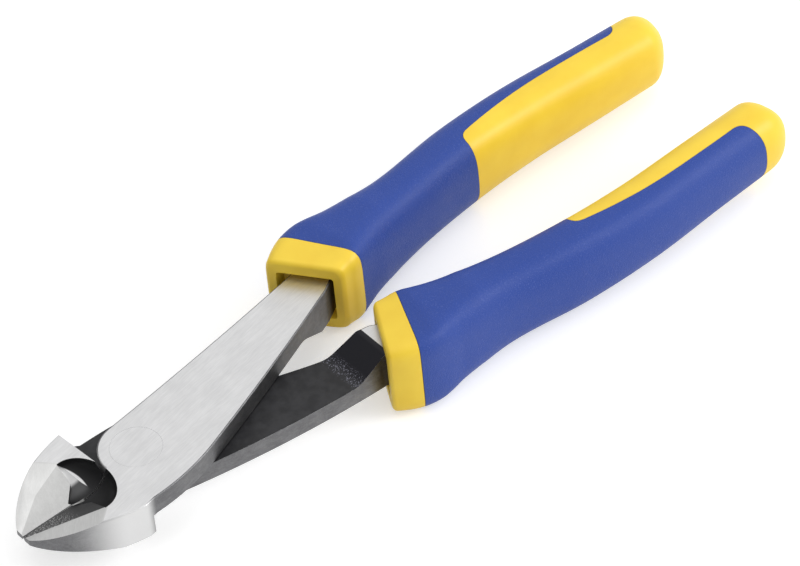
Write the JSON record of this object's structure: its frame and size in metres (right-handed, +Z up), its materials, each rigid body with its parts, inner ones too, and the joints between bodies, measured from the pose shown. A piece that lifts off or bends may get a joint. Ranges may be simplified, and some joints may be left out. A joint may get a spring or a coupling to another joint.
{
  "type": "side cutters",
  "caption": "Heavy side cutters with lapped forged levers on a flush rivet, a forged pocket behind ground jaws, and two-material handle grips.",
  "frame": {"origin": "under the middle of the tool's box, on the plane that the grips rest on", "axes": "+X from the jaws to the handle ends, +Y towards the handle of the upper lever, +Z up through the flat of the tool"},
  "size_m": [0.2, 0.0562, 0.0224],
  "materials": {
    "ground_steel": "ground and brushed along the lever",
    "forged_steel": "ground jaw, dark forged arm",
    "yellow_core": "satin moulded",
    "blue_cover": "fine matt grain"
  },
  "bodies": {
    "lower_half": {"lower_lever": "forged_steel", "pivot_rivet": "ground_steel", "lower_grip_core": "yellow_core", "lower_grip_cover": "blue_cover"},
    "upper_half": {"upper_lever": "ground_steel", "upper_grip_core": "yellow_core", "upper_grip_cover": "blue_cover"}
  },
  "joints": [
    {"name": "pivot", "type": "hinge", "parent": "lower_half", "child": "upper_half", "pos_m": [-0.06871, 0, 0.0112], "axis": [0, 0, 1], "range_deg": [0, 40]}
  ]
}
